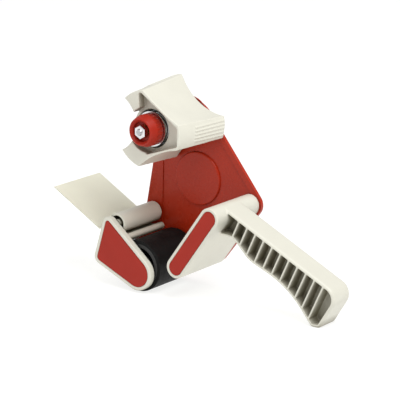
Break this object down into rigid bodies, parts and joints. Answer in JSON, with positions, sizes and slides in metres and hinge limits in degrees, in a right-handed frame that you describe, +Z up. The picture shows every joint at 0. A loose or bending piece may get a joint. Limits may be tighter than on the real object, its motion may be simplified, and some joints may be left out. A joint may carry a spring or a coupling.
{
  "type": "packing tape dispenser",
  "caption": "Pistol-grip dispenser for packing tape: three-lobed hub with a screw brake, rubber press drum, guide roller, hold-down flap, guarded blade and ribbed handle.",
  "frame": {"origin": "on the ground, under the middle of the whole dispenser's box, as it stands on its drum and the toe of its grip", "axes": "+X from the flap towards the grip's butt, +Y out of the back of the side plate, +Z up"},
  "size_m": [0.2756, 0.0722, 0.1775],
  "materials": {
    "ivory_plastic": "moulded, satin",
    "red_shell": "moulded, glossy",
    "red_panel": "moulded, satin",
    "black_rubber": "matt",
    "black_plastic": "moulded",
    "steel": "zinc plated",
    "bright_steel": "bright",
    "brass": "turned",
    "felt": "pressed felt",
    "flap_sheet": "translucent sheet"
  },
  "bodies": {
    "frame": {"side_plate": "red_shell", "hub_bolt": "steel", "plate_nut": "steel", "end_nut": "bright_steel", "friction_washer": "felt", "front_housing": "ivory_plastic", "cheek_inset": "red_panel", "flap_held_edge": "flap_sheet", "flap_clamp": "bright_steel", "flap_rivets": "bright_steel", "blade": "bright_steel", "blade_screws": "steel", "drum_axle": "steel", "roller_axle": "steel", "handle": "ivory_plastic", "bracket_inset": "red_panel", "frame_screws": "steel", "backstop_block": "black_plastic", "backstop_spring": "bright_steel"},
    "hub": {"tape_hub": "ivory_plastic", "hub_bush": "black_plastic", "pressure_washer": "steel", "brake_spring": "bright_steel"},
    "thrust_washer": {"thrust_washer": "bright_steel"},
    "knob": {"brake_knob": "red_panel", "knob_insert": "brass"},
    "drum": {"drum_core": "black_plastic", "drum_sleeve": "black_rubber", "drum_bushes": "brass"},
    "guide_roller": {"guide_roller": "ivory_plastic"},
    "flap": {"flap": "flap_sheet"}
  },
  "joints": [
    {"name": "hub_spin", "type": "hinge", "parent": "frame", "child": "hub", "pos_m": [-0.03619, 0.0036, 0.1409], "axis": [0, -1, 0], "continuous": true},
    {"name": "brake_advance", "type": "slide", "parent": "frame", "child": "thrust_washer", "axis": [0, -1, 0], "range_m": [-0.002, 0.0015], "deforming": ["brake_spring"]},
    {"name": "knob_turn", "type": "hinge", "parent": "thrust_washer", "child": "knob", "pos_m": [-0.03619, -0.0254, 0.1409], "axis": [0, -1, 0], "range_deg": [-780, 600]},
    {"name": "drum_spin", "type": "hinge", "parent": "frame", "child": "drum", "pos_m": [-0.05034, 0.0036, 0.0218], "axis": [0, -1, 0], "continuous": true},
    {"name": "roller_spin", "type": "hinge", "parent": "frame", "child": "guide_roller", "pos_m": [-0.07373, 0.0036, 0.05465], "axis": [0, -1, 0], "continuous": true},
    {"name": "flap_bend", "type": "hinge", "parent": "frame", "child": "flap", "pos_m": [-0.08749, 0.0036, 0.0488], "axis": [0, -1, 0], "range_deg": [-25, 15], "stiffness_Nm_per_rad": 0.2}
  ],
  "couplings": [
    {"joint": "knob_turn", "follows": "brake_advance", "rad_per_m": 6283.2}
  ]
}
